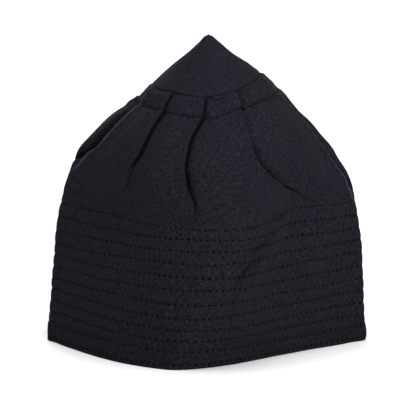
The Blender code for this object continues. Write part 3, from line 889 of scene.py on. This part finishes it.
def makeTip():
    azimuths = np.linspace(-90.0, 270.0, tipCloth["columns"] + 1)
    hem = roundTable(tipHem, azimuths)
    top = capShape["tipPoint"]
    shares = 1.0 - np.concatenate([[0.0, 0.012, 0.03], np.linspace(0.055, 1.0, 44)]) ** 0.9
    heights = mix(hem, top - 1e-5, shares[:, None])
    grid = azimuths + 0.0 * heights
    skin = tipSkin(grid, heights)
    slope = math.hypot(capShape["tipHeight"], capShape["tipRadius"])
    normal = place(grid, capShape["tipHeight"] / slope, capShape["tipRadius"] / slope + 0.0 * grid, 0.0)
    fade = smooth((top - heights) / 0.006)
    offset = (softWaves(skin) * 0.8 + lineOffset(skin, tipSkin, tipCreases)) * fade
    offset += tipCloth["hemFlare"] * bell(heights - hem, 0.0018)
    outer = skin + normal * offset[..., None]
    wall = tipCloth["wall"]
    edge = outer[-1]
    down = (edge - outer[-3]) / np.linalg.norm(edge - outer[-3], axis=-1, keepdims=True)
    lastNormal = normal[-1]
    lip = [edge + down * (wall * 0.5 * math.sin(angle)) - lastNormal * (wall * 0.5 * (1.0 - math.cos(angle)))
           for angle in (math.pi * 0.2, math.pi * 0.4, math.pi * 0.6, math.pi * 0.8)]
    inner = (outer - normal * wall)[::-1][::3]
    apex = outer[:1].mean(axis=1, keepdims=True) + 0.0 * outer[:1]
    innerApex = apex - np.array((0.0, 0.0, wall * 1.3))
    points = np.concatenate([apex, outer[1:], np.array(lip), inner[:-1], innerApex])
    points[:, -1] = points[:, 0]
    slant = np.linalg.norm(points - apex, axis=-1)
    angle = np.radians(azimuths) * capShape["tipRadius"] / slope
    cloth = np.stack([slant * np.sin(angle), slant * np.cos(angle)], -1)
    # painted highlight along the small crease
    tones = 1.0 + lineOffset(points, tipSkin, tipHighlights)
    return makeCloth("tipCloth", points, {"cloth": cloth, "paintedLight": paintedLightMap(tones)})


tipPiece = makeTip()
print("cap: pointed tip")


class Socket:
    def __init__(self, maker, socket):
        self.maker = maker
        self.socket = socket

    def part(self, output):  # another output of the same node
        return Socket(self.maker, self.socket.node.outputs[output])

    def math(self, operation, *others):
        return self.maker.node("ShaderNodeMath", {"operation": operation}, {0: self, **dict(enumerate(others, 1))})

    def __add__(self, other):
        return self.math("ADD", other)

    def __radd__(self, other):
        return self.math("ADD", other)

    def __sub__(self, other):
        return self.math("SUBTRACT", other)

    def __rsub__(self, other):
        return self.maker.node("ShaderNodeMath", {"operation": "SUBTRACT"}, {0: other, 1: self})

    def __mul__(self, other):
        return self.math("MULTIPLY", other)

    def __rmul__(self, other):
        return self.math("MULTIPLY", other)

    def __truediv__(self, other):
        return self.math("DIVIDE", other)

    def __gt__(self, other):
        return self.math("GREATER_THAN", other)

    def __lt__(self, other):
        return self.math("LESS_THAN", other)


class Finish:
    def __init__(self, name):
        self.material = bpy.data.materials.new(name)
        self.material.use_nodes = True
        self.tree = self.material.node_tree
        self.shader = self.tree.nodes["Principled BSDF"]
        self.count = 0

    def node(self, kind, settings=None, inputs=None, output=0):
        node = self.tree.nodes.new(kind)
        node.location = (-300 - 180 * (self.count // 6), 300 - 160 * (self.count % 6))
        self.count += 1
        for key, value in (settings or {}).items():
            setattr(node, key, value)
        for key, value in (inputs or {}).items():
            self.feed(node.inputs[key], value)
        return Socket(self, node.outputs[output])

    def feed(self, target, value):
        if isinstance(value, Socket):
            self.tree.links.new(value.socket, target)
        else:
            target.default_value = value

    def mixColour(self, share, low, high, blend="MIX"):
        return self.node("ShaderNodeMix", {"data_type": "RGBA", "blend_type": blend}, {0: share, 6: low, 7: high}, 2)

    def surface(self, **values):
        for key, value in values.items():
            self.feed(self.shader.inputs[key.replace("_", " ")], value)


cottonFinish = {
    "faded": (0.0106, 0.0100, 0.0130, 1.0),
    "deep": (0.0063, 0.0060, 0.0082, 1.0),
    "cool": (0.95, 1.00, 1.12, 1.0),
    "warm": (1.06, 0.99, 1.04, 1.0),
    "threadPitch": 0.00052,      # distance between two threads of the weave
    "streak": (1750.0, 330.0),   # fineness of the fibres across and along a thread
    "roughness": 0.90,
    "specular": 0.03,            # dull cotton hardly shines
    "sheen": 0.018,
    "sheenRoughness": 0.45,
    "sheenTint": (0.55, 0.56, 0.70, 1.0),
    "bump": 0.5,
    "bumpDepth": 0.00025,
    "lint": (0.16, 0.17, 0.21, 1.0),
    "lintSize": 0.030,           # share of a cell of the lint pattern
    "lintShare": 0.045,          # share of the cells that hold a speck
    "capHeight": 0.18,
    "dotSize": 1.04,             # millimetres from a stitch to the edge of its dot of painted shade
    "dotEdge": 0.50,             # millimetres over which a dot fades out
}


def cottonMaterial(name, quilted=False, mottle=0.72):
    finish = Finish(name)
    mapNode = finish.node("ShaderNodeUVMap", {"uv_map": "cloth"})
    objectSpot = finish.node("ShaderNodeTexCoord", output="Object")
    objectParts = finish.node("ShaderNodeSeparateXYZ", inputs={0: objectSpot})
    height = objectParts.part(2)
    parts = finish.node("ShaderNodeSeparateXYZ", inputs={0: mapNode})
    along = parts * (math.pi / cottonFinish["threadPitch"])
    up = parts.part(1) * (math.pi / cottonFinish["threadPitch"])
    warp = along.math("SINE")
    weft = up.math("SINE")
    over = (warp * weft) > 0.0
    weave = over * warp.math("ABSOLUTE") + (1.0 - over) * weft.math("ABSOLUTE")
    fine, coarse = cottonFinish["streak"]
    streaks = []
    for scale in ((fine, coarse, 1.0), (coarse, fine, 1.0)):
        spot = finish.node("ShaderNodeMapping", {}, {"Vector": mapNode, "Scale": scale})
        streaks.append(finish.node("ShaderNodeTexNoise", {"noise_dimensions": "2D"},
                                   {"Vector": spot, "Scale": 1.0, "Detail": 1.0, "Roughness": 0.5}))
    grain = finish.node("ShaderNodeTexNoise", {}, {"Vector": objectSpot, "Scale": 1500.0, "Detail": 1.0,
                                                   "Roughness": 0.5})
    slub = finish.node("ShaderNodeTexNoise", {}, {"Vector": objectSpot, "Scale": 380.0, "Detail": 2.0,
                                                  "Roughness": 0.6})
    patch = finish.node("ShaderNodeTexNoise", {}, {"Vector": objectSpot, "Scale": 26.0, "Detail": 3.0,
                                                   "Roughness": 0.55})
    colour = finish.mixColour(0.25 + 0.50 * patch, cottonFinish["deep"], cottonFinish["faded"])
    hue = finish.node("ShaderNodeTexNoise", {}, {"Vector": objectSpot, "Scale": 17.0, "Detail": 2.0, "Roughness": 0.5})
    cast = finish.mixColour((hue * 3.0 - 1.0).math("MAXIMUM", 0.0), cottonFinish["cool"], cottonFinish["warm"])
    colour = finish.mixColour(1.0, colour, cast, "MULTIPLY")
    tone = (2.7 * streaks[0] + 2.3 * streaks[1] + 2.8 * grain + 0.7 * slub - 4.25) * mottle + 1.0
    tone = tone * (0.82 + 0.42 * (height / cottonFinish["capHeight"]))  # painted light: lighter towards the top, darker low down
    tone = (tone * (0.92 + 0.12 * weave)).math("MAXIMUM", 0.22)
    if quilted:
        stitchMap = finish.node("ShaderNodeUVMap", {"uv_map": "stitch"})
        stitchParts = finish.node("ShaderNodeSeparateXYZ", inputs={0: stitchMap})
        rowSpot = stitchParts.part(1)
        away = ((rowSpot + 0.5).math("FRACT") - 0.5).math("ABSOLUTE")
        hole = (stitchParts + 0.5).math("FRACT").math("SUBTRACT", 0.5).math("ABSOLUTE")
        # painted shade: the cloth darkens a little along each row and in a dot round each stitch's dimple
        line = 1.0 - (away / 0.09).math("MINIMUM", 1.0)
        across = away * (quilting["rowGap"] * 1000.0)
        beside = hole * (quilting["pitch"] * 1000.0)
        spot = (across * across + beside * beside).math("SQRT")  # millimetres from the nearest stitch
        stitchShadeDots = ((cottonFinish["dotSize"] - spot) / cottonFinish["dotEdge"]).math("MAXIMUM", 0.0).math("MINIMUM", 1.0)
        number = (stitchParts + 0.5).math("FLOOR") + rowSpot.math("ROUND") * 31.0
        draw = finish.node("ShaderNodeTexWhiteNoise", {"noise_dimensions": "1D"}, {"W": number})
        tone = tone * (1.0 - 0.12 * line) * (1.0 - (0.52 + 0.36 * draw) * stitchShadeDots)
    # painted highlight and painted shade: the tones in the cloth's last UV map scale the colour
    paintedLight = finish.node("ShaderNodeUVMap", {"uv_map": "paintedLight"})
    tone = tone * (finish.node("ShaderNodeSeparateXYZ", inputs={0: paintedLight}) * 2.0)
    grey = finish.node("ShaderNodeCombineColor", {}, {0: tone, 1: tone, 2: tone})
    colour = finish.mixColour(1.0, colour, grey, "MULTIPLY")
    lint = finish.node("ShaderNodeTexVoronoi", {"feature": "F1"}, {"Vector": objectSpot, "Scale": 95.0})
    lintDraw = finish.node("ShaderNodeSeparateColor", inputs={0: lint.part("Color")})
    speck = (lint < cottonFinish["lintSize"]) * (lintDraw > 1.0 - cottonFinish["lintShare"])
    colour = finish.mixColour(speck * 0.5, colour, cottonFinish["lint"])
    relief = weave * 0.4 + grain * 0.4 + slub * 0.5 + streaks[0] * 0.4 + streaks[1] * 0.4
    bump = finish.node("ShaderNodeBump", {}, {"Strength": cottonFinish["bump"],
                                              "Distance": cottonFinish["bumpDepth"], "Height": relief})
    finish.surface(Base_Color=colour, Normal=bump, Roughness=cottonFinish["roughness"])
    finish.shader.inputs["Sheen Weight"].default_value = cottonFinish["sheen"]
    finish.shader.inputs["Sheen Roughness"].default_value = cottonFinish["sheenRoughness"]
    finish.shader.inputs["Sheen Tint"].default_value = cottonFinish["sheenTint"]
    finish.shader.inputs["Specular IOR Level"].default_value = cottonFinish["specular"]
    return finish.material


# The thread is near black, darker than the cloth: painted shade for stitches that lie sunk in their dents.
threadFinish = {
    "deep": (0.0007, 0.0007, 0.0012, 1.0),
    "faded": (0.0020, 0.0019, 0.0030, 1.0),
    "roughness": 0.75,
    "specular": 0.03,
    "bump": 0.4,
}


def threadMaterial():
    finish = Finish("sewingThread")
    spot = finish.node("ShaderNodeTexCoord", output="Object")
    fibre = finish.node("ShaderNodeTexNoise", {}, {"Vector": spot, "Scale": 2400.0, "Detail": 2.0})
    colour = finish.mixColour(fibre, threadFinish["deep"], threadFinish["faded"])
    bump = finish.node("ShaderNodeBump", {}, {"Strength": threadFinish["bump"], "Distance": 0.0001, "Height": fibre})
    finish.surface(Base_Color=colour, Normal=bump, Roughness=threadFinish["roughness"])
    finish.shader.inputs["Specular IOR Level"].default_value = threadFinish["specular"]
    return finish.material


quiltedCotton = cottonMaterial("quiltedCotton", quilted=True)
pleatedCotton = cottonMaterial("pleatedCotton")
plainCotton = cottonMaterial("plainCotton", mottle=0.42)
sewingThread = threadMaterial()

threads = {
    "length": 0.0015,            # what shows of one stitch
    "width": 0.00060,
    "thickness": 0.00040,
    "lift": 0.00008,             # a stitch's middle above its dimple
    "hemLift": 0.00004,          # and a little more where it holds the hem
    "edgeSink": 0.00022,         # the edge stitches lie deeper
    "collarLift": 0.00012,
    "collarPace": 0.0035,
    "collarLength": 0.0020,
}


def makeStitches(name, groups):
    bm = bmesh.new()
    one = bmesh.new()
    bmesh.ops.create_uvsphere(one, u_segments=6, v_segments=4, radius=1.0,
                              matrix=Matrix.Rotation(math.pi / 2.0, 4, "Y"))
    oneStitch = bpy.data.meshes.new("oneStitch")
    one.to_mesh(oneStitch)
    one.free()
    dice = np.random.default_rng(3)
    for spots, along, normal, length in groups:
        for spot, way, out in zip(spots, along, normal):
            side = np.cross(out, way)
            side /= np.linalg.norm(side)
            way = np.cross(side, out)
            tilt = dice.normal(0.0, 0.05)
            way, side = way * math.cos(tilt) + side * math.sin(tilt), side * math.cos(tilt) - way * math.sin(tilt)
            size = length * dice.uniform(0.86, 1.14)
            frameMatrix = Matrix((tuple(way * size / 2.0) + (0,), tuple(side * threads["width"] / 2.0) + (0,),
                                  tuple(out * threads["thickness"] / 2.0) + (0,), (0, 0, 0, 1))).transposed()
            frameMatrix.translation = Vector(spot + capShift)
            stitch = oneStitch.copy()
            stitch.transform(frameMatrix)
            bm.from_mesh(stitch)
            bpy.data.meshes.remove(stitch)
    bpy.data.meshes.remove(oneStitch)
    bmesh.ops.recalc_face_normals(bm, faces=bm.faces)
    mesh = bpy.data.meshes.new(name)
    bm.to_mesh(mesh)
    bm.free()
    mesh.shade_smooth()
    piece = bpy.data.objects.new(name, mesh)
    bpy.context.scene.collection.objects.link(piece)
    return piece


def unit(vectors):
    return vectors / np.linalg.norm(vectors, axis=-1, keepdims=True)


def bandStitches(row):
    phases = np.arange(stitchCount) - rowShifts[row]
    azimuth = azimuthAt(phases * stitchPace)
    rows = np.full(azimuth.shape, float(row))
    spots = bandFace(rows, azimuth)
    ahead = bandFace(rows, azimuth + 0.25) - bandFace(rows, azimuth - 0.25)
    normal = flatOutward(azimuth, levelAt(rows, azimuth))
    lift = np.full(azimuth.shape, threads["lift"])
    if row == 10:
        lift = lift + hemCloth["out"] + threads["hemLift"]
    return spots + normal * lift[..., None], unit(ahead), normal, threads["length"]


def edgeStitches():
    phases = np.arange(stitchCount) - rowShifts[11]
    azimuth = azimuthAt(phases * stitchPace)
    level = np.full(azimuth.shape, hemCloth["edgeRow"])
    normal = flatOutward(azimuth, level)
    skin = wallSkin(azimuth, level)
    wave = softWaves(skin) * smooth(level / 0.003) + lineOffset(skin, wallSkin, wallCreases)
    spots = skin + normal * (hemCloth["out"] - threads["edgeSink"] + wave)[..., None]
    ahead = wallSkin(azimuth + 0.25, level) - wallSkin(azimuth - 0.25, level)
    return spots, unit(ahead), normal, threads["length"]


def collarStitches():
    azimuth = np.linspace(-90.0, 270.0, 1441)
    line = roundTable(stitchedLine, azimuth)
    path = crownSkin(azimuth, line)
    length = np.concatenate([[0.0], np.cumsum(np.linalg.norm(np.diff(path, axis=0), axis=1))])
    count = int(length[-1] / threads["collarPace"])
    chosen = np.interp((np.arange(count) + 0.5) * length[-1] / count, length, azimuth)
    pick = roundTable(stitchedLine, chosen)
    # Each stitch sits on the outermost cloth that the pleats leave at its place.
    azimuths, offsets, _, _ = crownGrid(pick)
    tops = []
    for here, places, heights in zip(chosen, azimuths, offsets):
        gap = (places - here + 180.0) % 360.0 - 180.0
        order = np.argsort(gap)
        near = np.abs(gap) < 1.2
        tops.append(heights[near].max() if near.any() else np.interp(0.0, gap[order], heights[order]))
    spots = crownFace(chosen, pick, np.array(tops))
    ahead = crownSkin(chosen + 0.3, pick) - crownSkin(chosen - 0.3, pick)
    normal = outward(crownSkin, chosen, pick, 0.012)
    return spots + normal * threads["collarLift"], unit(ahead), normal, threads["collarLength"]


rowPiece = makeStitches("rowStitches", [bandStitches(row) for row in range(11)])
edgePiece = makeStitches("edgeStitches", [edgeStitches()])
collarPiece = makeStitches("collarStitches", [collarStitches()])
print("cap: stitches", stitchCount, "to a row")

for piece, material, slotName in (
        (bandPiece, quiltedCotton, "quilted_cotton"), (hemPiece, quiltedCotton, "plain_cotton"),
        (crownPiece, pleatedCotton, "plain_cotton"), (tipPiece, plainCotton, "plain_cotton"),
        (rowPiece, sewingThread, "quilted_cotton"), (edgePiece, sewingThread, "plain_cotton"),
        (collarPiece, sewingThread, "plain_cotton")):
    piece.data.materials.append(material)
    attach(piece, "root")
for piece, node in ((bandPiece, "band"), (hemPiece, "hem"), (crownPiece, "crown"), (tipPiece, "tip")):
    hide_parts(node)

studio = {
    "distance": 10.0,            # far off, so that the cap shows with little perspective
    "elevation": 10.3,
    "aim": (0.00087, 0.0, 0.0776),
    "frameWidth": 0.2407,        # width of the view at the cap
    "world": 0.15,
    "floor": (0.90, 0.90, 0.90, 1.0),
    "lampAim": (0.0, 0.0, 0.08),
    "lamps": (
        # name, place, width, power
        ("top", (0.1, 0.1, 2.8), 1.8, 69.0),
        ("front", (0.6, -2.6, 0.7), 1.4, 88.0),
        ("right", (2.3, -1.3, 1.0), 1.4, 10.0),
        ("back", (-0.5, 2.6, 0.9), 1.4, 45.0),
    ),
}


def makeStudio():
    scene = bpy.context.scene
    angle = math.radians(studio["elevation"])
    camera = bpy.data.objects.new("camera", bpy.data.cameras.new("camera"))
    scene.collection.objects.link(camera)
    aim = Vector(studio["aim"])
    camera.location = aim + Vector((0.0, -math.cos(angle), math.sin(angle))) * studio["distance"]
    camera.rotation_euler = (aim - camera.location).to_track_quat("-Z", "Y").to_euler()
    camera.data.sensor_width = 36.0
    camera.data.lens = 36.0 * studio["distance"] / studio["frameWidth"]
    camera.data.clip_end = 60.0
    scene.camera = camera

    bm = bmesh.new()
    bmesh.ops.create_grid(bm, x_segments=1, y_segments=1, size=12.0)
    mesh = bpy.data.meshes.new("floor")
    bm.to_mesh(mesh)
    bm.free()
    floor = bpy.data.objects.new("floor", mesh)
    scene.collection.objects.link(floor)
    paper = Finish("palePaper")
    paper.surface(Base_Color=studio["floor"], Roughness=0.9)
    mesh.materials.append(paper.material)

    world = bpy.data.worlds.new("studio")
    world.use_nodes = True
    world.node_tree.nodes["Background"].inputs["Color"].default_value = (1.0, 1.0, 1.0, 1.0)
    world.node_tree.nodes["Background"].inputs["Strength"].default_value = studio["world"]
    scene.world = world
    scene.view_settings.view_transform = "Standard"

    for name, spot, size, power in studio["lamps"]:
        lamp = bpy.data.objects.new(name, bpy.data.lights.new(name, "AREA"))
        lamp.data.size = size
        lamp.data.energy = power
        lamp.location = spot
        lamp.rotation_euler = (Vector(studio["lampAim"]) - Vector(spot)).to_track_quat("-Z", "Y").to_euler()
        scene.collection.objects.link(lamp)


makeStudio()
print("cap: studio")
